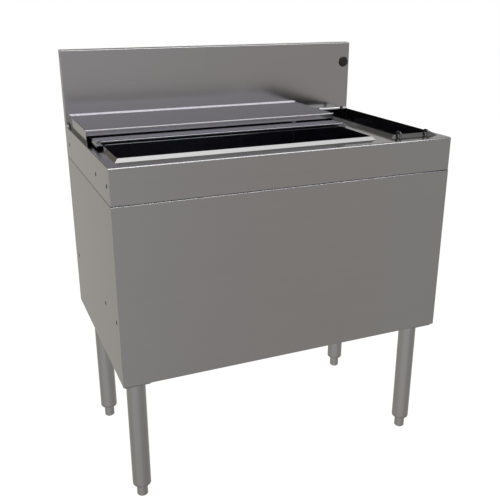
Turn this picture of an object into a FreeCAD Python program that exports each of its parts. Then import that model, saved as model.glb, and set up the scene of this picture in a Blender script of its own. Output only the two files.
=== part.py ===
import FreeCAD, Part
import math
import os

os.makedirs("parts", exist_ok=True)
V = FreeCAD.Vector

# Driving dimensions, in millimetres. X runs across, Y runs front to back and Z is up from the floor.
WIDTH = 762.0
DEPTH = 482.6
HEIGHT = 943.0
DECK_TOP = 767.0
SEAM = 693.2             # where the deck's apron meets the panels below it
SEAM_BEND = 2.0          # outer radius of the bends that meet at the seam
SKIRT_BOTTOM = 310.5     # lower edge of the panels
SHEET = 1.2
HALF = WIDTH / 2
FRONT = -DEPTH / 2
BACK = DEPTH / 2
FLANGE = 14.0            # width of the returns along panel edges

SPLASH_THICK = 27.6
COVE_LAND = 15.0         # strip of deck that belongs to the backsplash sheet
COVE_RADIUS = 7.0
PLUG_X = 364.4           # plug in the backsplash, near its right-hand end
PLUG_Z = 892.6
PLUG_NECK = 10.5
PANEL_BACK = BACK - SHEET        # rear face of the rear panel, inside the returns
PANEL_FRONT = PANEL_BACK - SHEET

HOLE_RADIUS = 4.75       # joining holes in both ends of the unit
HOLE_DEPTHS = (22.5, 125.3, 438.4)
HOLE_HEIGHTS = (728.1, 448.6)

# Inner top edges of the two rims as (x0, x1, depth0, depth1), depths measured behind the front.
BIN_EDGE = (-353.0, 203.0, 45.0, 419.0)
WELL_EDGE = (258.0, 357.5, 41.5, 409.5)
RIM_RISE = 7.0
BIN_BEVEL = 7.0
WELL_BEVEL = 11.0
WELL_CORNER = 5.0
RIM_DROP = 22.0          # how far the rims' inner walls reach below the deck
BIN_FLOOR = 469.0
WELL_FLOOR = 567.0
FLOOR_COVE = 8.0
FOAM = 25.0

PAN_BOTTOM = 330.5       # underside of the bottom pan
PAN_LIP = 20.0

COVER_SHEET = 1.2
REAR_LIP = 782.3         # lower edge of the rear cover's front lip
DRAIN_X = (BIN_EDGE[0] + BIN_EDGE[1]) / 2
DRAIN_DEPTH = (BIN_EDGE[2] + BIN_EDGE[3]) / 2

LEG_X = 344.4
LEG_DEPTHS = (50.6, 395.5)
LEG_RADIUS = 20.65
LEG_BOTTOM = 36.5
CHANNEL_BOTTOM = 305.5
CHANNEL_SHEET = 2.0
CHANNEL_X = (312.0, 377.0)
CHANNEL_DEPTHS = (6.0, 466.0)

WIRE = 2.5               # radius of the bottle rack's wire
RACK_X = (268.0, 339.5)
HOOK_DEPTH = 30.0        # outer leg of the rack's front hooks


def y_at(depth):
    """Y of a point the given distance behind the front face."""
    return FRONT + depth


def box(x0, x1, y0, y1, z0, z1):
    return Part.makeBox(x1 - x0, y1 - y0, z1 - z0, V(x0, y0, z0))


def rod(start, direction, radius, length):
    return Part.makeCylinder(radius, length, start, direction)


def rounded_wire(points, radii):
    """Closed wire through the points, each corner rounded by its own radius."""
    starts, mids, ends = [], [], []
    count = len(points)
    for i in range(count):
        corner = points[i]
        to_last = (points[i - 1] - corner).normalize()
        to_next = (points[(i + 1) % count] - corner).normalize()
        half = to_last.getAngle(to_next) / 2
        radius = radii[i]
        setback = radius / math.tan(half)
        starts.append(corner + to_last * setback)
        ends.append(corner + to_next * setback)
        centre = corner + (to_last + to_next).normalize() * (radius / math.sin(half))
        mids.append(centre + (corner - centre).normalize() * radius if radius else corner)
    edges = []
    for i in range(count):
        if radii[i] > 0:
            edges.append(Part.Arc(starts[i], mids[i], ends[i]).toShape())
        following = starts[(i + 1) % count]
        if (following - ends[i]).Length > 1e-6:
            edges.append(Part.makeLine(ends[i], following))
    return Part.Wire(edges)


def prism(points, radii, sweep):
    """Solid made by pushing a rounded polygon along a vector."""
    return Part.Face(rounded_wire(points, radii)).extrude(sweep)


def sheet_profile(path, thickness, radius):
    """Closed outline of bent sheet: the path is the outer side, the metal lies to its left."""
    normals = []
    for (u0, v0), (u1, v1) in zip(path, path[1:]):
        length = math.hypot(u1 - u0, v1 - v0)
        normals.append((-(v1 - v0) / length, (u1 - u0) / length))
    inner, outer_radii, inner_radii = [], [], []
    for i, (u, v) in enumerate(path):
        before = normals[max(i - 1, 0)]
        after = normals[min(i, len(normals) - 1)]
        scale = thickness / (1 + before[0] * after[0] + before[1] * after[1])
        inner.append((u + scale * (before[0] + after[0]), v + scale * (before[1] + after[1])))
        turn = before[0] * after[1] - before[1] * after[0]
        bend = radius[i] if 0 < i < len(path) - 1 else 0
        outer_radii.append(bend if turn > 0 else max(bend - thickness, 0))
        inner_radii.append(max(bend - thickness, 0) if turn > 0 else bend)
    return list(path) + inner[::-1], outer_radii + inner_radii[::-1]


def sheet_along_x(path, radius, x0, x1, thickness=SHEET):
    """Bent sheet whose section is drawn in (y, z) and which runs from x0 to x1."""
    points, radii = sheet_profile(path, thickness, radius)
    return prism([V(x0, u, v) for u, v in points], radii, V(x1 - x0, 0, 0))


def rounded_block(x, y, z, yz=(0, 0, 0, 0), xz=(0, 0, 0, 0), xy=(0, 0, 0, 0)):
    """Block with rounded edges along each axis; radii run (lo,lo), (hi,lo), (hi,hi), (lo,hi)."""
    corners = ((0, 0), (1, 0), (1, 1), (0, 1))
    block = prism([V(x[0], y[i], z[j]) for i, j in corners], yz, V(x[1] - x[0], 0, 0))
    if any(xz):
        block = block.common(
            prism([V(x[i], y[0], z[j]) for i, j in corners], xz, V(0, y[1] - y[0], 0)))
    if any(xy):
        block = block.common(
            prism([V(x[i], y[j], z[0]) for i, j in corners], xy, V(0, 0, z[1] - z[0])))
    return block


def rounded_frustum(lower, z0, r0, upper, z1, r1):
    """Loft between two rounded rectangles, each (x0, x1, y0, y1)."""
    wires = []
    for (x0, x1, y0, y1), z, r in ((lower, z0, r0), (upper, z1, r1)):
        corners = [V(x0, y0, z), V(x1, y0, z), V(x1, y1, z), V(x0, y1, z)]
        wires.append(rounded_wire(corners, [r] * 4))
    return Part.makeLoft(wires, True, True)


def grow(rect, by):
    x0, x1, y0, y1 = rect
    return (x0 - by, x1 + by, y0 - by, y1 + by)


def plan(edge):
    """Rectangle in X and Y from one whose depths are measured behind the front."""
    return (edge[0], edge[1], y_at(edge[2]), y_at(edge[3]))


def straight(rect, z0, z1, radius=0.0):
    x0, x1, y0, y1 = rect
    corners = [V(x0, y0, z0), V(x1, y0, z0), V(x1, y1, z0), V(x0, y1, z0)]
    return prism(corners, [radius] * 4, V(0, 0, z1 - z0))


def fillet_where(shape, radius, test):
    edges = [edge for edge in shape.Edges if test(edge.BoundBox)]
    return shape.makeFillet(radius, edges)


def save(node, *solids):
    shape = solids[0] if len(solids) == 1 else Part.makeCompound(list(solids))
    shape.exportStep("parts/" + node + ".step")


def end_holes(height):
    """Tools that cut the joining holes through both ends at one height."""
    return [rod(V(-HALF - 5, y_at(depth), height), V(1, 0, 0), HOLE_RADIUS, WIDTH + 10)
            for depth in HOLE_DEPTHS]


def panel_slot():
    """Space that the returns along the seam leave for the rear panel."""
    return box(-HALF + SHEET, HALF - SHEET, PANEL_FRONT, BACK - SHEET, SEAM - 3, SEAM + 3)


def deck_pan():
    """Deck with its front and side aprons, folded from one sheet and cut out for both wells."""
    bend, side = 4.0, 1.6
    outer = rounded_block((-HALF, HALF), (FRONT, BACK), (SEAM, DECK_TOP),
                          yz=(SEAM_BEND, 0, 0, bend), xz=(SEAM_BEND, SEAM_BEND, side, side),
                          xy=(side, side, 0, 0))
    x = (-HALF + SHEET, HALF - SHEET)
    y = (FRONT + SHEET, BACK + 1)
    inside = SEAM_BEND - SHEET
    inner = rounded_block(x, y, (SEAM + SHEET, DECK_TOP - SHEET),
                          yz=(inside, 0, 0, bend - SHEET),
                          xz=(inside, inside, side - SHEET, side - SHEET))
    # The returns along the apron's lower edge stay; everything inboard of them is open.
    opening = box(-HALF + FLANGE, HALF - FLANGE, FRONT + FLANGE, BACK + 1, SEAM - 1, SEAM + 2)
    pan = outer.cut(inner).cut(opening)
    splash = BACK - SPLASH_THICK - COVE_LAND
    pan = pan.cut(box(-HALF + SHEET, HALF - SHEET, splash, BACK + 1, DECK_TOP - 5, DECK_TOP + 5))
    pan = pan.cut(panel_slot())
    for edge, corner in ((BIN_EDGE, 0.0), (WELL_EDGE, WELL_CORNER + SHEET)):
        pan = pan.cut(straight(grow(plan(edge), SHEET), DECK_TOP - 5, DECK_TOP + 5, corner))
    for hole in end_holes(HOLE_HEIGHTS[0]):
        pan = pan.cut(hole)
    save("deck_pan", pan)


def backsplash():
    """One sheet: coved foot on the deck, tall face, rounded top and a short return behind."""
    face = BACK - SPLASH_THICK
    path = [(face - COVE_LAND, DECK_TOP), (face, DECK_TOP), (face, HEIGHT), (BACK, HEIGHT),
            (BACK, HEIGHT - 25)]
    # The path is walked with the metal on its left, so it starts at the return behind.
    sheet = sheet_along_x(path[::-1], [0, 3.0, 3.0, COVE_RADIUS + SHEET, 0],
                          -HALF + SHEET, HALF - SHEET)
    hole = rod(V(PLUG_X, face - 5, PLUG_Z), V(0, 1, 0), PLUG_NECK, 10)
    save("backsplash", sheet.cut(hole))


def backsplash_end(side):
    """Plate that closes one end of the backsplash, with two small fixing holes."""
    x = sorted((side * HALF, side * (HALF - SHEET)))
    face = BACK - SPLASH_THICK
    plate = rounded_block(x, (face, BACK), (DECK_TOP, HEIGHT), yz=(0, 0, 3.0, 3.0))
    foot = prism([V(x[0], face - COVE_RADIUS, DECK_TOP), V(x[0], face, DECK_TOP),
                  V(x[0], face, DECK_TOP + COVE_RADIUS)], [0, 0, 0], V(SHEET, 0, 0))
    hollow = rod(V(x[0] - 1, face - COVE_RADIUS, DECK_TOP + COVE_RADIUS), V(1, 0, 0),
                 COVE_RADIUS, 4)
    plate = plate.fuse(foot.cut(hollow)).removeSplitter()
    for height in (929.5, 853.0):
        plate = plate.cut(rod(V(x[0] - 1, y_at(467.5), height), V(1, 0, 0), 2.6, 4))
    save("backsplash_left_end" if side < 0 else "backsplash_right_end", plate)


def backsplash_plug():
    """Moulded plug with a low domed head, a neck through the sheet and a snap ring behind."""
    face = BACK - SPLASH_THICK
    head = 13.35
    # Half section as (radius, distance in front of the face), revolved about the hole's axis.
    points = [V(0, 0, 4.2), V(head - 6, 0, 3.9), V(head - 2, 0, 3.0), V(head - 0.5, 0, 1.8),
              V(head, 0, 0.6), V(head, 0, 0),
              V(PLUG_NECK - 0.1, 0, 0), V(PLUG_NECK - 0.1, 0, -1.6), V(PLUG_NECK + 1, 0, -2.4),
              V(PLUG_NECK - 1.5, 0, -7), V(0, 0, -7)]
    section = Part.Face(rounded_wire(points, [0] * len(points)))
    plug = section.revolve(V(0, 0, 0), V(0, 0, 1), 360)
    plug.rotate(V(0, 0, 0), V(1, 0, 0), 90)
    plug.translate(V(PLUG_X, face, PLUG_Z))
    save("backsplash_plug", plug)


def front_panel():
    """Front skirt with inward returns at top and bottom."""
    path = [(FRONT + FLANGE, SEAM), (FRONT, SEAM), (FRONT, SKIRT_BOTTOM),
            (FRONT + FLANGE, SKIRT_BOTTOM)]
    panel = sheet_along_x(path, [0, SEAM_BEND, SHEET, 0], -HALF, HALF)
    for side in (-1, 1):
        x = sorted((side * (HALF + 1), side * (HALF - SHEET)))
        panel = panel.cut(box(x[0], x[1], FRONT + SHEET, FRONT + 30, SKIRT_BOTTOM - 1, SEAM + 1))
        # The lower return is notched over each leg channel.
        x = sorted((side * CHANNEL_X[0], side * CHANNEL_X[1]))
        panel = panel.cut(box(x[0], x[1], y_at(CHANNEL_DEPTHS[0]), FRONT + 30, SKIRT_BOTTOM - 1,
                              SKIRT_BOTTOM + 3))
    save("front_panel", panel)


def side_panel(side):
    """Side skirt with returns at the top, the bottom and the rear edge."""
    x_face, x_root = side * HALF, side * (HALF - FLANGE)
    x = sorted((x_face, x_root))
    xz = (SHEET, 0, 0, SEAM_BEND) if side < 0 else (0, SHEET, SEAM_BEND, 0)
    xy = (0, 0, 0, SHEET) if side < 0 else (0, 0, SHEET, 0)
    y = (FRONT + SHEET, BACK)
    outer = rounded_block(x, y, (SKIRT_BOTTOM, SEAM), xz=xz, xy=xy)
    inner = box(min(x_root - side, x_face - side * SHEET), max(x_root - side, x_face - side * SHEET),
                FRONT, BACK - SHEET, SKIRT_BOTTOM + SHEET, SEAM - SHEET)
    panel = outer.cut(inner)
    # The returns stop behind the front panel's own returns, and so does the sheet's upper corner.
    root = sorted((side * (HALF - SHEET), side * (HALF - FLANGE - 1)))
    panel = panel.cut(box(root[0], root[1], FRONT, FRONT + FLANGE, SKIRT_BOTTOM - 1, SEAM + 1))
    # The lower return is a narrow hem beside the leg channels.
    hem = sorted((side * CHANNEL_X[1], side * (HALF - FLANGE - 1)))
    panel = panel.cut(box(hem[0], hem[1], FRONT, BACK - SHEET, SKIRT_BOTTOM - 1, SKIRT_BOTTOM + 3))
    panel = panel.cut(panel_slot())
    for hole in end_holes(HOLE_HEIGHTS[1]):
        panel = panel.cut(hole)
    save("left_side_panel" if side < 0 else "right_side_panel", panel)


def rear_panel():
    """Flat back, tucked inside the returns of the side panels and the backsplash."""
    panel = box(-HALF + SHEET, HALF - SHEET, PANEL_FRONT, PANEL_BACK, SKIRT_BOTTOM + 4,
                HEIGHT - 5)
    save("rear_panel", panel)


def bottom_pan():
    """Pan that closes the body below, its lips turned up against the panels."""
    x = (-HALF + SHEET, HALF - SHEET)
    y = (FRONT + SHEET, PANEL_FRONT)
    z = (PAN_BOTTOM, PAN_BOTTOM + PAN_LIP)
    pan = box(x[0], x[1], y[0], y[1], z[0], z[1])
    pan = pan.cut(box(x[0] + SHEET, x[1] - SHEET, y[0] + SHEET, y[1] - SHEET, z[0] + SHEET, z[1] + 1))
    hole = rod(V(DRAIN_X, y_at(DRAIN_DEPTH), z[0] - 5), V(0, 0, 1), 21.0, 20)
    save("bottom_pan", pan.cut(hole))


def rim(node, edge, bevel, corner):
    """Raised bevelled frame: a thin slope up from the deck, then a wall straight down."""
    inner = plan(edge)
    base = grow(inner, bevel)
    top = DECK_TOP + RIM_RISE
    low = DECK_TOP - RIM_DROP
    base_corner = corner + 1.0 if corner else 0.0
    slope = math.atan2(RIM_RISE, bevel)
    drop = SHEET / math.cos(slope)
    hill = rounded_frustum(base, DECK_TOP, base_corner, inner, top, corner)
    under = rounded_frustum(base, DECK_TOP - drop, base_corner, inner, top - drop, corner)
    wall_corner = corner + SHEET if corner else 0.0
    wall = straight(grow(inner, SHEET), low, top, wall_corner)
    # Keep of the wall only what lies under the slope's outer surface.
    wall = wall.common(hill.fuse(straight(grow(inner, SHEET), low, DECK_TOP, wall_corner)))
    frame = hill.cut(under).fuse(wall)
    frame = frame.cut(straight(inner, low - 1, top + 1, corner))
    save(node, frame.removeSplitter())


def ice_bin_liner():
    """Deep welded tub with coved corners, its floor dished toward the drain in the middle."""
    inner = plan(BIN_EDGE)
    top = DECK_TOP - RIM_DROP
    fall = 6.0
    ledge = BIN_FLOOR + fall
    dish = grow(inner, -30.0)
    well = (DRAIN_X - 40, DRAIN_X + 40, y_at(DRAIN_DEPTH) - 40, y_at(DRAIN_DEPTH) + 40)

    def tub(by, z_top):
        bend = FLOOR_COVE + by
        walls = straight(grow(inner, by), ledge - by, z_top, bend)
        walls = fillet_where(walls, bend - 0.5, lambda b: b.ZMax < ledge - by + 0.01)
        return walls.fuse(rounded_frustum(well, BIN_FLOOR - by, 0.0, dish, ledge - by, 0.0))

    liner = tub(SHEET, top).cut(tub(0.0, top + 5))
    hole = rod(V(DRAIN_X, y_at(DRAIN_DEPTH), BIN_FLOOR - 10), V(0, 0, 1), 17.0, 20)
    save("ice_bin_liner", liner.cut(hole))


def bottle_well_liner():
    """Narrow welded trough with rounded corners and a flat floor."""
    inner = plan(WELL_EDGE)
    top = DECK_TOP - RIM_DROP

    def trough(by, z_top):
        shape = straight(grow(inner, by), WELL_FLOOR - by, z_top, WELL_CORNER + by)
        return fillet_where(shape, WELL_CORNER + by - 0.5, lambda b: b.ZMax < WELL_FLOOR + 1)

    save("bottle_well_liner", trough(SHEET, top).cut(trough(0.0, top + 5)))


def foam_boards():
    """Insulation packed round the ice bin, one board to each side and one beneath."""
    x0, x1, y0, y1 = grow(plan(BIN_EDGE), SHEET)
    top = SEAM - SHEET - 1
    low = BIN_FLOOR - 10
    left = -HALF + SHEET + 1
    front = FRONT + FLANGE + 1
    back = min(y1 + FOAM, PANEL_FRONT)
    right = x1 + FOAM
    save("foam_front", box(left, right, front, y0, low, top))
    save("foam_back", box(left, right, y1, back, low, top))
    save("foam_left", box(left, x0, y0, y1, low, top))
    save("foam_right", box(x1, right, y0, y1, low, top))
    board = box(left, right, front, back, low - FOAM, low)
    hole = rod(V(DRAIN_X, y_at(DRAIN_DEPTH), low - FOAM - 1), V(0, 0, 1), 30.0, FOAM + 2)
    board = board.cut(hole)
    # Pockets behind the joining holes leave room for the bolts' ends.
    for depth in HOLE_DEPTHS:
        board = board.cut(rod(V(-HALF, y_at(depth), HOLE_HEIGHTS[1]), V(1, 0, 0), 8.0, 20))
    save("foam_bottom", board)


def bin_drain():
    """Drain: flanged body in the floor, gasket and nut below, tailpiece out under the unit."""
    x, y = DRAIN_X, y_at(DRAIN_DEPTH)
    up = V(0, 0, 1)
    floor = BIN_FLOOR
    under = BIN_FLOOR - SHEET
    bore = 12.5
    body = rod(V(x, y, floor), up, 30.0, 1.5).fuse(rod(V(x, y, under - 34), up, 16.8, 38))
    body = body.fuse(Part.makeCone(30.0, 29.0, 1.0, V(x, y, floor + 1.5), up))
    seat = rod(V(x, y, floor + 0.7), up, 24.0, 10)
    body = body.cut(seat).cut(rod(V(x, y, under - 40), up, bore, 60))
    save("drain_fitting", body.removeSplitter())
    ring = rod(V(x, y, under - 2.5), up, 29.0, 2.5)
    save("drain_gasket", ring.cut(rod(V(x, y, under - 5), up, 16.8, 10)))
    corners = [V(x + 27 * math.cos(a), y + 27 * math.sin(a), under - 11.5)
               for a in (math.pi / 3 * i for i in range(6))]
    nut = prism(corners, [2.0] * 6, V(0, 0, 9))
    save("drain_locknut", nut.cut(rod(V(x, y, under - 15), up, 16.8, 20)))
    pipe = rod(V(x, y, 307.0), up, 18.0, under - 34 - 307.0)
    pipe = pipe.fuse(rod(V(x, y, 285.0), up, 16.7, 22.0))
    save("drain_tailpiece", pipe.cut(rod(V(x, y, 280.0), up, bore, 200)))
    disc = rod(V(x, y, floor + 0.7), up, 23.7, 1.0)
    for radius, count in ((0.0, 1), (12.0, 8)):
        for i in range(count):
            a = 2 * math.pi * i / count
            disc = disc.cut(rod(V(x + radius * math.cos(a), y + radius * math.sin(a), floor), up,
                                2.5, 5))
    save("drain_strainer", disc)


def tray(x, y, z, radius, top_radius):
    """Block with rounded upright corners at the front and a rolled top edge."""
    block = rounded_block(x, y, z, xy=(radius, radius, 0, 0))
    return fillet_where(block, top_radius, lambda b: b.ZMin > z[1] - 0.01)


def rear_cover():
    """Fixed-position lid: a shallow tray upside down, standing on the deck on its flanges."""
    x, y = (-374.0, 219.0), (y_at(243.5), y_at(453.5))
    top, foot = 795.0, DECK_TOP + 0.05
    t = COVER_SHEET
    roll, ridge_run, ridge_rise = 2.6, 4.6, 2.6
    outer = tray(x, y, (foot, top), 0.0, roll)
    inner = tray((x[0] + t, x[1] - t), (y[0] + t, y[1] - t), (foot - 10, top - t), 0.0, roll - t)
    # The sheet is doubled over along the rear edge, where it rises in a slope toward the backsplash.
    root, crest = y[1] - ridge_run, top + ridge_rise
    slope = prism([V(x[0], root, top - t), V(x[0], y[1], top - roll), V(x[0], y[1], crest),
                   V(x[0], root, top)], [0, 0, 0.9, 0], V(x[1] - x[0], 0, 0))
    ends = prism([V(x[0], root, top - roll), V(x[1], root, top - roll), V(x[1], root, crest),
                  V(x[0], root, crest)], [0, 0, roll, roll], V(0, ridge_run, 0))
    lid = outer.cut(inner).fuse(slope.common(ends).cut(inner))
    # The front lip is short, so that the sliding lid passes below it; the rear one clears the cove.
    lid = lid.cut(box(x[0] + t, x[1] - t, y[0] - 1, y[0] + 5, foot - 1, REAR_LIP))
    lid = lid.cut(box(x[0] - 1, x[1] + 1, y[1] - 14, y[1] + 1, foot - 1, 777.0))
    save("rear_cover", lid.removeSplitter())


def front_cover():
    """Sliding lid on the rim's two sides, its front edge raised as a grip above the flat sheet."""
    x, y = (-367.0, 213.5), (y_at(170.0), y_at(380.0))
    lip = DECK_TOP + RIM_RISE + 0.3
    sheet_top, grip_top, foot = 779.6, 784.2, 771.0
    t = COVER_SHEET
    grip, side_roll, front_roll, joggle = 8.0, 11.0, 3.0, 1.6

    def solid(by):
        """The lid's outside pulled in by a distance: its side view meets its front view."""
        left, right = x[0] + by, x[1] - by
        front, back, low = y[0] + by, y[1] - by, foot - 10 * by
        knee = y[0] + grip - by
        side_view = prism(
            [V(left, front, low), V(left, back, low), V(left, back, sheet_top - by),
             V(left, knee + 3.0, sheet_top - by), V(left, knee, grip_top - by),
             V(left, front, grip_top - by)],
            [0, 0, front_roll - by, joggle + by, joggle, 0], V(right - left, 0, 0))
        front_view = prism(
            [V(left, front, low), V(right, front, low), V(right, front, grip_top - by),
             V(left, front, grip_top - by)],
            [0, 0, side_roll - by, side_roll - by], V(0, back - front, 0))
        # The roll follows the front face's whole outline, down both ends.
        return fillet_where(side_view.common(front_view), front_roll - by,
                            lambda b: b.YMax < front + 0.01 and b.ZMax > low + 1)

    lid = solid(0.0).cut(solid(t))
    # Both lips stop above the rim; only the sides' flanges reach down beside it.
    for edge in y:
        lid = lid.cut(box(x[0] - 1, x[1] + 1, edge - 3, edge + 3, foot - 20, lip))
    # A hem doubles the front lip between the rim's sides; its folded edge shows as a fine bead.
    ends = (BIN_EDGE[0] - 1, BIN_EDGE[1] + 1)
    lid = lid.cut(box(ends[0], ends[1], y[0] - 1, y[0] + 4, lip - 1, lip + t))
    lid = lid.fuse(box(ends[0], ends[1], y[0] + t - 0.01, y[0] + 2 * t, lip + t, lip + 6))
    lid = lid.fuse(rod(V(ends[0], y[0] + t, lip + t), V(1, 0, 0), t, ends[1] - ends[0]))
    save("front_cover", lid.removeSplitter())


def wire_along(points, bend):
    """Round wire through the points, bent at each corner with the same radius."""
    edges, last = [], points[0]
    for i in range(1, len(points) - 1):
        corner = points[i]
        to_last = (points[i - 1] - corner).normalize()
        to_next = (points[i + 1] - corner).normalize()
        half = to_last.getAngle(to_next) / 2
        setback = bend[i] / math.tan(half)
        start, end = corner + to_last * setback, corner + to_next * setback
        centre = corner + (to_last + to_next).normalize() * (bend[i] / math.sin(half))
        middle = centre + (corner - centre).normalize() * bend[i]
        if (start - last).Length > 1e-6:
            edges.append(Part.makeLine(last, start))
        edges.append(Part.Arc(start, middle, end).toShape())
        last = end
    edges.append(Part.makeLine(last, points[-1]))
    spine = Part.Wire(edges)
    along = (points[1] - points[0]).normalize()
    section = Part.Wire([Part.makeCircle(WIRE, points[0], along)])
    return spine.makePipeShell([section], True, False)


def bottle_rack():
    """Rack that hangs in the well: two long hanger rods and the cross wires on their floor runs."""
    crest = DECK_TOP + RIM_RISE + WIRE + 2.8
    floor = WELL_FLOOR + 12
    front_wall, rear_wall = y_at(45.0), y_at(406.0)
    for node, x in zip(("rack_hanger_left", "rack_hanger_right"), RACK_X):
        points = [V(x, y_at(HOOK_DEPTH), 770.0), V(x, y_at(HOOK_DEPTH), crest), V(x, front_wall, crest),
                  V(x, front_wall, floor), V(x, rear_wall, floor), V(x, rear_wall, crest),
                  V(x, y_at(415.6), crest), V(x, y_at(415.6), 773.2)]
        bends = [0, 4.5, 4.5, 14.0, 14.0, 4.5, 4.5, 0]
        save(node, wire_along(points, bends))
    wires = []
    for i in range(9):
        depth = 75.0 + i * (376.0 - 75.0) / 8
        wires.append(rod(V(RACK_X[0] - 2, y_at(depth), floor + 2 * WIRE), V(1, 0, 0), WIRE,
                         RACK_X[1] - RACK_X[0] + 4))
    save("rack_cross_wires", *wires)


def leg_channel(side):
    """Folded channel, open upward and welded under the bottom pan, carrying two legs."""
    inner_x, outer_x = side * CHANNEL_X[0], side * CHANNEL_X[1]
    y0, y1 = y_at(CHANNEL_DEPTHS[0]), y_at(CHANNEL_DEPTHS[1])
    cut = 12.0

    def outline(by, z0, z1):
        xi, xo = inner_x + side * by, outer_x - side * by
        k = cut - by * 0.6
        points = [V(xo, y0 + by, z0), V(xi + side * k, y0 + by, z0), V(xi, y0 + by + k, z0),
                  V(xi, y1 - by - k, z0), V(xi + side * k, y1 - by, z0), V(xo, y1 - by, z0)]
        return prism(points, [0] * 6, V(0, 0, z1 - z0))

    channel = outline(0.0, CHANNEL_BOTTOM, PAN_BOTTOM)
    channel = channel.cut(outline(CHANNEL_SHEET, CHANNEL_BOTTOM + CHANNEL_SHEET, PAN_BOTTOM + 1))
    for depth in LEG_DEPTHS:
        channel = channel.cut(rod(V(side * LEG_X, y_at(depth), CHANNEL_BOTTOM - 1), V(0, 0, 1),
                                  LEG_RADIUS + 0.2, 10))
    save("left_leg_channel" if side < 0 else "right_leg_channel", channel)


def leg(name, x, y):
    """One leg: socket welded in the channel, tube, threaded insert and adjustable foot."""
    up = V(0, 0, 1)
    web = CHANNEL_BOTTOM + CHANNEL_SHEET
    socket = box(x - 25, x + 25, y - 25, y + 25, web, web + 3)
    socket = socket.fuse(rod(V(x, y, web), up, LEG_RADIUS + 2.7, PAN_BOTTOM - web))
    socket = socket.cut(rod(V(x, y, web - 1), up, LEG_RADIUS, PAN_BOTTOM - web + 2))
    save("leg_socket_" + name, socket)

    wall = 1.5
    crown = PAN_BOTTOM - 2
    tube = rod(V(x, y, LEG_BOTTOM), up, LEG_RADIUS, crown - LEG_BOTTOM)
    save("leg_tube_" + name, tube.cut(rod(V(x, y, LEG_BOTTOM - 1), up, LEG_RADIUS - wall, crown)))

    stem = 7.0
    plug_low = LEG_BOTTOM + 3.0
    plug = rod(V(x, y, plug_low), up, LEG_RADIUS - wall, 22)
    plug = plug.cut(rod(V(x, y, plug_low - 1), up, stem + 0.1, 30))
    save("foot_insert_" + name, plug)

    # Bullet foot: a shoulder as wide as the tube, a narrow pad below it and a stem above.
    shoulder_top = LEG_BOTTOM - 0.4
    shoulder = rod(V(x, y, shoulder_top - 5.0), up, LEG_RADIUS, 5.0)
    shoulder = fillet_where(shoulder, 4.0, lambda b: b.ZMax < shoulder_top - 4.9)
    pad, toe = 12.3, 4.0
    foot = Part.makeCone(pad - toe, pad, toe, V(x, y, 0), up)
    foot = foot.fuse(rod(V(x, y, toe), up, pad, shoulder_top - 1 - toe)).fuse(shoulder)
    foot = foot.fuse(rod(V(x, y, shoulder_top - 1), up, stem, 58))
    save("foot_" + name, foot.removeSplitter())


deck_pan()
backsplash()
backsplash_plug()
front_panel()
rear_panel()
bottom_pan()
rim("ice_bin_rim", BIN_EDGE, BIN_BEVEL, 0.0)
rim("bottle_well_rim", WELL_EDGE, WELL_BEVEL, WELL_CORNER)
ice_bin_liner()
bottle_well_liner()
foam_boards()
bin_drain()
rear_cover()
front_cover()
bottle_rack()
for hand in (-1, 1):
    backsplash_end(hand)
    side_panel(hand)
    leg_channel(hand)
    for place, leg_depth in zip(("front", "rear"), LEG_DEPTHS):
        word = "left" if hand < 0 else "right"
        leg(place + "_" + word, hand * LEG_X, y_at(leg_depth))
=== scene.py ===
import bmesh
import bpy
import math
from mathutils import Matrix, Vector


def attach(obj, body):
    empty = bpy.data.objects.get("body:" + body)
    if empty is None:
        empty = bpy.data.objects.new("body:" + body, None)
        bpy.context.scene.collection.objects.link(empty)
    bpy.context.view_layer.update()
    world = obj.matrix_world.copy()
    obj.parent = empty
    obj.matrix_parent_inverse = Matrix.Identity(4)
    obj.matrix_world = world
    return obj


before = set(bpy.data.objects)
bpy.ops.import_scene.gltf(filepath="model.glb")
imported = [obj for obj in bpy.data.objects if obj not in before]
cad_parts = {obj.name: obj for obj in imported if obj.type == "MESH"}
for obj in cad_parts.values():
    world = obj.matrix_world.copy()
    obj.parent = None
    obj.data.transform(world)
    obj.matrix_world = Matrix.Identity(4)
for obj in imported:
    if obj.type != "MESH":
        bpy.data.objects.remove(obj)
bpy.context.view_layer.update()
scene = bpy.context.scene
scene.view_settings.view_transform = "Standard"

# ---------------------------------------------------------------------------
# Sheet-steel body: deck, aprons, backsplash and panels.
# All are 1.2 mm stainless sheet, brushed along the length of each face. The deck is
# folded, the panels are welded below it, and the welds are ground flush and rebrushed.
# ---------------------------------------------------------------------------


class Value:
    """A shader socket that takes part in ordinary arithmetic; each operator adds a Math node."""

    def __init__(self, finish, socket):
        self.finish = finish
        self.socket = socket

    def _math(self, operation, *values):
        return self.finish.node("ShaderNodeMath", {"operation": operation},
                                dict(enumerate(values)))

    def __add__(self, other):
        return self._math("ADD", self, other)

    def __sub__(self, other):
        return self._math("SUBTRACT", self, other)

    def __rsub__(self, other):
        return self._math("SUBTRACT", other, self)

    def __mul__(self, other):
        return self._math("MULTIPLY", self, other)

    def __truediv__(self, other):
        return self._math("DIVIDE", self, other)

    def clamp(self, low=0.0, high=1.0):
        return self._math("MINIMUM", self._math("MAXIMUM", self, low), high)

    def ramp(self, start, end):
        """0 as far as start, 1 from end on, a straight line between; it may also fall."""
        return ((self - start) / (end - start)).clamp()

    __radd__ = __add__
    __rmul__ = __mul__


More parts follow.
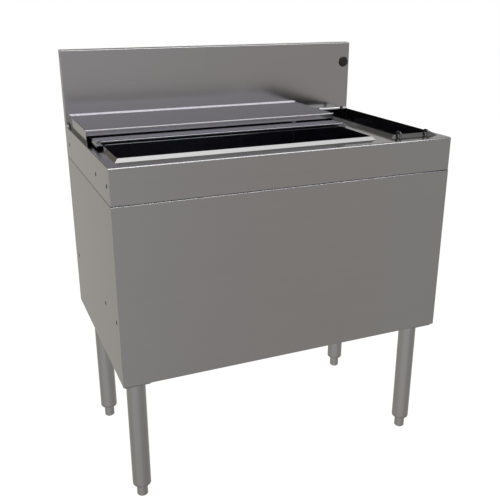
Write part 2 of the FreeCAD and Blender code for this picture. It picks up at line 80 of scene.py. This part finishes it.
class Finish:
    """A material whose nodes are added by name, with settings first and sockets after."""

    def __init__(self, name, tree=None):
        if tree is None:
            self.material = bpy.data.materials.new(name)
            self.material.use_nodes = True
            tree = self.material.node_tree
        self.tree = tree

    def node(self, kind, settings=None, sockets=None, output=0):
        made = self.tree.nodes.new(kind)
        for name, setting in (settings or {}).items():
            if name == "stops":
                ramp = made.color_ramp.elements
                while len(ramp) < len(setting):
                    ramp.new(1.0)
                for stop, (place, colour) in zip(ramp, setting):
                    stop.position = place
                    stop.color = colour
            else:
                setattr(made, name, setting)
        for name, value in (sockets or {}).items():
            if isinstance(value, Value):
                self.tree.links.new(value.socket, made.inputs[name])
            else:
                made.inputs[name].default_value = value
        return Value(self, made.outputs[output])

    def mix(self, share, one, two):
        """A colour between one, at share 0, and two, at share 1."""
        colour_output = 2
        return self.node("ShaderNodeMix", {"data_type": "RGBA"},
                         {0: share, 6: one, 7: two}, colour_output)

    def noise(self, place, scale, detail, roughness=0.5):
        return self.node("ShaderNodeTexNoise", {}, {
            "Vector": place, "Scale": scale, "Detail": detail, "Roughness": roughness})

    def split(self, vector):
        """The three components of a vector."""
        parts = self.tree.nodes.new("ShaderNodeSeparateXYZ")
        self.tree.links.new(vector.socket, parts.inputs[0])
        return [Value(self, part) for part in parts.outputs]

    def set(self, **sockets):
        """Set or link sockets of the material's own shader."""
        shader = self.tree.nodes["Principled BSDF"]
        for name, value in sockets.items():
            name = name.replace("_", " ")
            if isinstance(value, Value):
                self.tree.links.new(value.socket, shader.inputs[name])
            else:
                shader.inputs[name].default_value = value


def grey(level, warmth=0.0, violet=0.0):
    """Linear colour of a grey, a little warm (positive) or cool (negative), or less green."""
    return (level * (1 + warmth), level * (1 - violet), level * (1 - warmth), 1.0)


def brushed_steel(name, level, grain, rough, warmth=0.01, streak=0.05, bump=0.12, cloud=0.04,
                  mark=None, violet=0.0):
    """Brushed stainless: fine streaks along one axis, soft clouding and a varying gloss.

    A mark is a function of the place that returns where the sheet has another shade, and which.
    """
    steel = Finish(name)
    place = steel.node("ShaderNodeTexCoord", output="Object")

    def streaks(across, along, detail, roughness):
        """Noise with so many waves a metre across the grain and along it."""
        waves = [across, across, across]
        waves["XYZ".index(grain)] = along
        stretched = steel.node("ShaderNodeVectorMath", {"operation": "MULTIPLY"},
                               {0: place, 1: waves})
        return steel.noise(stretched, 1.0, detail, roughness)

    fine = streaks(1400.0, 9.0, 3.0, 0.6)
    broad = streaks(130.0, 3.0, 2.0, 0.5)
    haze = steel.noise(place, 6.0, 2.0)
    tone = (fine - 0.5) * streak + (broad - 0.5) * (streak * 0.8) + (haze - 0.5) * cloud + 0.5
    colour = steel.mix(tone, grey(level * 0.5, warmth, violet), grey(level * 1.5, warmth, violet))
    if mark:
        where, shade = mark(*steel.split(place))
        colour = steel.mix(where, colour, shade)
    gloss = (fine - 0.5) * 0.06 + (haze - 0.5) * 0.05 + rough
    dent = steel.node("ShaderNodeBump", {}, {
        "Strength": bump, "Distance": 0.0002, "Height": fine * 0.7 + broad * 0.3})
    steel.set(Base_Color=colour, Metallic=1.0, Roughness=gloss.clamp(0.05, 0.6), Normal=dent)
    return steel.material


def dress(material, *nodes):
    """Give CAD nodes their finished material."""
    for node in nodes:
        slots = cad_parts[node].data.materials
        slots.clear()
        slots.append(material)


def seam_shadow(x, y, z):
    """Dark line that stays in the joint below the front apron, 1.2 mm tall."""
    return y.ramp(-0.2385, -0.239) * z.ramp(0.6948, 0.6944), (0.13, 0.13, 0.15, 1.0)


SHEET = 0.42                    # linear grey of the brushed sheet
body_steel = brushed_steel("body_steel", SHEET, "X", 0.13, bump=0.06)
deck_steel = brushed_steel("deck_steel", SHEET, "X", 0.13, bump=0.06, mark=seam_shadow)
side_steel = brushed_steel("side_steel", SHEET, "Y", 0.19, bump=0.08)
splash_steel = brushed_steel("splash_steel", 0.43, "X", 0.18, bump=0.06)
dress(body_steel, "front_panel")
dress(splash_steel, "backsplash")
dress(deck_steel, "deck_pan")
dress(side_steel, "left_side_panel", "right_side_panel", "backsplash_left_end",
      "backsplash_right_end")

# ---------------------------------------------------------------------------
# Rims of the two wells.
# Pressed stainless frames, welded to the deck and polished finer than the sheet round them.
# ---------------------------------------------------------------------------

rim_steel = brushed_steel("rim_steel", SHEET, "X", 0.12, streak=0.03, bump=0.05)
dress(rim_steel, "ice_bin_rim", "bottle_well_rim")

# ---------------------------------------------------------------------------
# Liners of the ice bin and the bottle well, and the drain in the bin's floor.
# Smooth welded tubs that hang from the rims. They mirror their own walls, so they look nearly
# black inside. The drain is turned stainless, drawn up from below with a nut.
# ---------------------------------------------------------------------------

liner_steel = brushed_steel("liner_steel", 0.36, "Z", 0.3, warmth=-0.08, streak=0.04, bump=0.05,
                            violet=0.08)
dress(liner_steel, "ice_bin_liner", "bottle_well_liner", "drain_fitting", "drain_locknut",
      "drain_tailpiece", "drain_strainer")

# ---------------------------------------------------------------------------
# Lids: the rear cover and the front cover that slides beneath it.
# Shallow trays of brushed sheet with rolled edges. The front one has a raised grip and a hemmed
# lip with a fine bead, the rear one a doubled edge toward the backsplash.
# ---------------------------------------------------------------------------


def rear_cover_painted_highlights(x, y, z):
    """Painted highlight on the rear cover's doubled rear edge; painted reflection up its front
    flange.
    """
    ridge = y.ramp(0.20775, 0.208)
    flange = y.ramp(0.0031, 0.0026) * z.ramp(0.7935, 0.7925)
    upward = z.ramp(0.7871, 0.7927) * 0.6 + 0.12
    return ridge + flange * upward, (0.86, 0.85, 0.93, 1.0)


def grip_painted_shade(x, y, z):
    """Painted shade on the rolled front edge of the front cover's grip, which dims its highlight.
    """
    return y.ramp(-0.0681, -0.0686) * z.ramp(0.78067, 0.7812) * 0.8, (0.2, 0.2, 0.22, 1.0)


def bead_painted_shade(x, y, z):
    """Painted shade: the bead is darker along its right half, where its reflection fades."""
    return x.ramp(-0.0773, 0.0136), (0.035, 0.035, 0.04, 1.0)


# The front cover's steel carries a painted shade on its grip's edge.
cover_steel = brushed_steel("cover_steel", 0.41, "X", 0.13, streak=0.04, bump=0.06,
                            mark=grip_painted_shade)
# The rear cover's steel carries a painted highlight and a painted reflection.
rear_cover_steel = brushed_steel("rear_cover_steel", 0.41, "X", 0.13, streak=0.04, bump=0.06,
                                 mark=rear_cover_painted_highlights)
dress(rear_cover_steel, "rear_cover")
dress(cover_steel, "front_cover")


def hem_bead():
    """Fine rolled bead on the front cover's lip; it flattens and closes toward both ends."""
    left, right = -0.3515, 0.2015
    lip_y, lip_z, radius = -0.0713, 0.7752, 0.0008
    closing_length = 0.003
    blunt_end = 0.02            # share of the radius that is left at the very ends
    sides, rings = 14, 160
    mesh = bmesh.new()
    rows = []
    for ring in range(rings + 1):
        # Rings crowd toward the ends, where the bead closes in a quarter ellipse.
        share = 0.5 - 0.5 * math.cos(math.pi * ring / rings)
        reach = min(share, 1.0 - share) * (right - left)
        short = 1.0 - min(reach / closing_length, 1.0)
        closing = math.sqrt(max(0.0, 1.0 - short ** 2)) * (1.0 - blunt_end) + blunt_end
        wander = 0.00004 * math.sin(ring * 0.9) + 0.00003 * math.sin(ring * 0.37 + 1.0)
        rows.append([mesh.verts.new((left + share * (right - left),
                                     lip_y + closing * radius * math.cos(turn) + wander,
                                     lip_z + closing * radius * math.sin(turn)))
                     for turn in (2 * math.pi * i / sides for i in range(sides))])
    for one, two in zip(rows, rows[1:]):
        for i in range(sides):
            j = (i + 1) % sides
            mesh.faces.new((one[i], one[j], two[j], two[i]))
    mesh.faces.new(rows[0][::-1])
    mesh.faces.new(rows[-1])
    for face in mesh.faces:
        face.smooth = len(face.verts) == 4
    bmesh.ops.recalc_face_normals(mesh, faces=mesh.faces)
    data = bpy.data.meshes.new("front_cover_hem_bead")
    mesh.to_mesh(data)
    mesh.free()
    # The bead's steel is set darker than the cover's, a painted shade, and its right half carries
    # a further painted shade.
    data.materials.append(brushed_steel("bead_steel", 0.24, "X", 0.2, warmth=-0.06,
                                        mark=bead_painted_shade))
    bead = bpy.data.objects.new("front_cover_hem_bead", data)
    scene.collection.objects.link(bead)
    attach(bead, "front_cover")


hem_bead()

# ---------------------------------------------------------------------------
# Bottle rack: round stainless wire, bent and spot-welded.
# It hangs in the narrow well by four hooks over the well's rim and lifts straight out.
# ---------------------------------------------------------------------------

# The wire's steel is set darker than the sheet's: painted shade.
wire_steel = brushed_steel("wire_steel", 0.2, "Y", 0.2, streak=0.04, bump=0.03)
dress(wire_steel, "rack_hanger_left", "rack_hanger_right", "rack_cross_wires")

# ---------------------------------------------------------------------------
# Legs and adjustable feet: plain drawn tube, with a turned bullet foot whose stem screws into
# the moulded insert in the tube's lower end.
# ---------------------------------------------------------------------------

PLACES = [a + "_" + b for a in ("front", "rear") for b in ("left", "right")]
leg_steel = brushed_steel("leg_steel", SHEET, "Z", 0.16, streak=0.05, bump=0.04)
dress(leg_steel, *["leg_tube_" + place for place in PLACES],
      *["foot_" + place for place in PLACES])

# ---------------------------------------------------------------------------
# Hidden steel: rear panel, bottom pan, leg channels and sockets.
# Plain galvanized sheet with the crystals that the zinc bath leaves, welded inside the cabinet.
# ---------------------------------------------------------------------------


def galvanized(name):
    """Zinc-coated sheet: flat crystals about 11 mm across, each with a shade and gloss."""
    zinc = Finish(name)
    place = zinc.node("ShaderNodeTexCoord", output="Object")
    spangle = zinc.node("ShaderNodeTexVoronoi", {"feature": "F1"},
                        {"Vector": place, "Scale": 90.0}, output="Color")
    bright = zinc.node("ShaderNodeSeparateColor", {}, {0: spangle})
    haze = zinc.noise(place, 8.0, 3.0)
    colour = zinc.mix(bright * 0.5 + haze * 0.5, grey(0.24, -0.02), grey(0.38, -0.02))
    zinc.set(Base_Color=colour, Metallic=1.0, Roughness=bright * 0.15 + 0.35)
    return zinc.material


zinc_steel = galvanized("zinc_steel")
dress(zinc_steel, "rear_panel", "bottom_pan", "left_leg_channel", "right_leg_channel",
      *["leg_socket_" + place for place in PLACES])

# ---------------------------------------------------------------------------
# Moulded and soft pieces: plug, gasket, foot inserts and insulation.
# The plug snaps into the backsplash's hole, the gasket is clamped by the drain's nut, the
# inserts are driven into the tubes, and the foam slabs stand round the ice bin's liner.
# ---------------------------------------------------------------------------


def moulded(name, level, rough, grain_scale, depth, warmth=0.0):
    """Plastic, rubber or foam with a grain of so many waves a metre and such a depth."""
    plastic = Finish(name)
    place = plastic.node("ShaderNodeTexCoord", output="Object")
    grain = plastic.noise(place, grain_scale, 4.0)
    colour = plastic.mix(grain, grey(level * 0.8, warmth), grey(level * 1.2, warmth))
    bump = plastic.node("ShaderNodeBump", {}, {
        "Strength": 0.3, "Distance": depth, "Height": grain})
    plastic.set(Base_Color=colour, Roughness=grain * 0.2 + rough, Normal=bump)
    return plastic.material


dress(moulded("plug_black", 0.012, 0.08, 900.0, 0.00004), "backsplash_plug")
dress(moulded("gasket_black", 0.02, 0.6, 700.0, 0.0002), "drain_gasket")
dress(moulded("insert_grey", 0.08, 0.45, 700.0, 0.0002),
      *["foot_insert_" + place for place in PLACES])
dress(moulded("foam_cream", 0.7, 0.8, 400.0, 0.001, warmth=0.1),
      "foam_front", "foam_back", "foam_left", "foam_right", "foam_bottom")

# ---------------------------------------------------------------------------
# Studio: floor, backdrop, room, two soft lamps and the camera.
# Floor and backdrop are white to the camera. Metal mirrors the white backdrop behind the object
# and, in all other directions, a graded grey room with a dim ceiling, to match the photo.
# ---------------------------------------------------------------------------


def ray_kind(finish, name):
    """1 for rays of one kind, such as Is Camera Ray, else 0."""
    rays = finish.tree.nodes.new("ShaderNodeLightPath")
    return Value(finish, rays.outputs[name])


floor_mesh = bpy.data.meshes.new("studio_floor")
floor_reach = 6.0
floor_mesh.from_pydata([(-floor_reach, -floor_reach, 0), (floor_reach, -floor_reach, 0),
                        (floor_reach, floor_reach, 0), (-floor_reach, floor_reach, 0)],
                       [], [(0, 1, 2, 3)])
floor = bpy.data.objects.new("studio_floor", floor_mesh)
floor.location.z = -0.0005      # just below the feet, so that no two faces share a plane
scene.collection.objects.link(floor)
floor_finish = Finish("studio_floor")
surface = floor_finish.tree.nodes
surface.remove(surface["Principled BSDF"])
paint = floor_finish.node("ShaderNodeBsdfDiffuse", {}, {"Color": grey(0.82)})
by_camera = ray_kind(floor_finish, "Is Camera Ray")
by_metal = ray_kind(floor_finish, "Is Glossy Ray")
by_glass = ray_kind(floor_finish, "Is Transmission Ray")
# The camera sees a white glow with a trace of the painted floor's shadow. Metal and glass look
# through the floor at the world below it.
glow = floor_finish.node("ShaderNodeEmission", {}, {"Color": grey(1.0), "Strength": 1.16})
seen = floor_finish.node("ShaderNodeMixShader", {}, {0: by_camera * 0.85, 1: paint, 2: glow})
clear = floor_finish.node("ShaderNodeBsdfTransparent")
mixed = floor_finish.node("ShaderNodeMixShader", {}, {
    0: (by_metal + by_glass).clamp(), 1: seen, 2: clear})
floor_finish.tree.links.new(mixed.socket, surface["Material Output"].inputs["Surface"])
floor_mesh.materials.append(floor_finish.material)

world = bpy.data.worlds.new("studio")
scene.world = world
world.use_nodes = True
air = Finish("studio", world.node_tree)
across, along, up = air.split(air.node("ShaderNodeTexCoord", output="Generated"))


def shades(where, *stops):
    """Colour ramp of the room."""
    return air.node("ShaderNodeValToRGB", {"stops": stops}, {0: where})


# Below the horizon the room changes round the compass: 0 and 1 are the front, 0.25 the left.
full_turn = 6.2832
bearing = air.node("ShaderNodeMath", {"operation": "ARCTAN2"}, {0: across, 1: along})
compass = bearing / full_turn + 0.5
around = shades(
    compass,
    (0.0, (0.53, 0.525, 0.53, 1)), (0.06, (0.59, 0.575, 0.575, 1)),
    (0.17, (0.60, 0.585, 0.58, 1)), (0.26, (0.50, 0.49, 0.45, 1)),
    (0.39, (0.50, 0.485, 0.445, 1)), (0.44, (0.462, 0.448, 0.412, 1)),
    (0.5, (0.46, 0.446, 0.41, 1)), (0.75, (0.44, 0.43, 0.42, 1)),
    (0.83, (0.41, 0.405, 0.39, 1)), (0.87, (0.42, 0.41, 0.395, 1)),
    (0.895, (0.455, 0.445, 0.43, 1)), (0.92, (0.45, 0.43, 0.41, 1)),
    (0.947, (0.464, 0.448, 0.44, 1)), (0.97, (0.495, 0.488, 0.49, 1)),
    (1.0, (0.53, 0.525, 0.53, 1)))
# It darkens toward straight down, which is 0 here, and the horizon 1.
depth = shades(up + 1.0, (0.0, grey(0.6)), (0.2, grey(0.68)), (0.36, grey(0.9)),
               (0.5, grey(0.98)), (0.8, grey(1.02)), (1.0, grey(1.0)))
below = air.node("ShaderNodeVectorMath", {"operation": "MULTIPLY"}, {0: around, 1: depth})
# A pale, cool band stands above the horizon in front; behind and overhead the room is dim.
before = shades(
    up, (0.0, (0.48, 0.465, 0.475, 1)), (0.06, (0.51, 0.495, 0.52, 1)),
    (0.14, (0.60, 0.59, 0.67, 1)), (0.30, (0.58, 0.57, 0.65, 1)), (0.42, (0.30, 0.30, 0.33, 1)),
    (0.50, grey(0.16)), (0.75, grey(0.18)), (0.87, grey(0.36)), (1.0, grey(0.55)))
behind = shades(
    up, (0.0, (0.40, 0.39, 0.35, 1)), (0.14, (0.20, 0.195, 0.16, 1)),
    (0.30, (0.14, 0.135, 0.115, 1)), (0.45, (0.09, 0.09, 0.08, 1)), (0.75, grey(0.15)),
    (0.87, grey(0.36)), (1.0, grey(0.55)))
# Behind and to the right a pale wall stands up to some twenty degrees.
wall = air.mix(across.ramp(0.25, 0.45) * up.ramp(0.44, 0.34), behind, (0.475, 0.47, 0.46, 1))
dimmed = air.node("ShaderNodeVectorMath", {"operation": "SCALE"}, {
    0: before, "Scale": (1.12 - across * 0.45).clamp(0.75, 1.05)})
above = air.mix(along.ramp(-0.2, 0.2), dimmed, wall)
room = air.mix(up.ramp(-0.125, 0.0), below, above)
# The white backdrop stands behind the object, up to the horizon. Metal shows it there too.
backdrop = compass.ramp(0.52, 0.5367) * compass.ramp(0.62, 0.6033) * up.ramp(0.0, -0.0833)
by_eye = ray_kind(air, "Is Camera Ray") + ray_kind(air, "Is Transmission Ray")
white = air.mix((by_eye + ray_kind(air, "Is Glossy Ray") * backdrop).clamp(), room, grey(1.0))
backing = world.node_tree.nodes["Background"]
world.node_tree.links.new(white.socket, backing.inputs["Color"])
backing.inputs["Strength"].default_value = 1.0


def softbox(name, place, aim, width, height, radiance):
    """Area lamp of a plain radiance, whatever its size."""
    lamp = bpy.data.lights.new(name, "AREA")
    lamp.color = (1.0, 1.0, 1.02)
    lamp.shape = "RECTANGLE"
    lamp.size = width
    lamp.size_y = height
    lamp.energy = radiance * math.pi * width * height
    holder = bpy.data.objects.new(name, lamp)
    holder.location = place
    holder.rotation_euler = (Vector(aim) - Vector(place)).to_track_quat("-Z", "Y").to_euler()
    scene.collection.objects.link(holder)


softbox("overhead_box", (1.0, -0.85, 3.0), (1.0, -0.85, 0.8), 2.6, 1.7, 1.1)
softbox("key_box", (1.15, -1.89, 3.03), (1.15, 0.215, 0.927), 2.5, 0.42, 6.1)

# The photo's camera, solved from the straight edges of the unit.
lens = bpy.data.cameras.new("camera")
lens.lens = 50.0
lens.sensor_width = 36.0
camera = bpy.data.objects.new("camera", lens)
camera.location = (-0.6236, -1.4718, 1.0613)
camera.rotation_euler = (math.radians(69.843), 0.0, math.radians(-22.972))
scene.collection.objects.link(camera)
scene.camera = camera
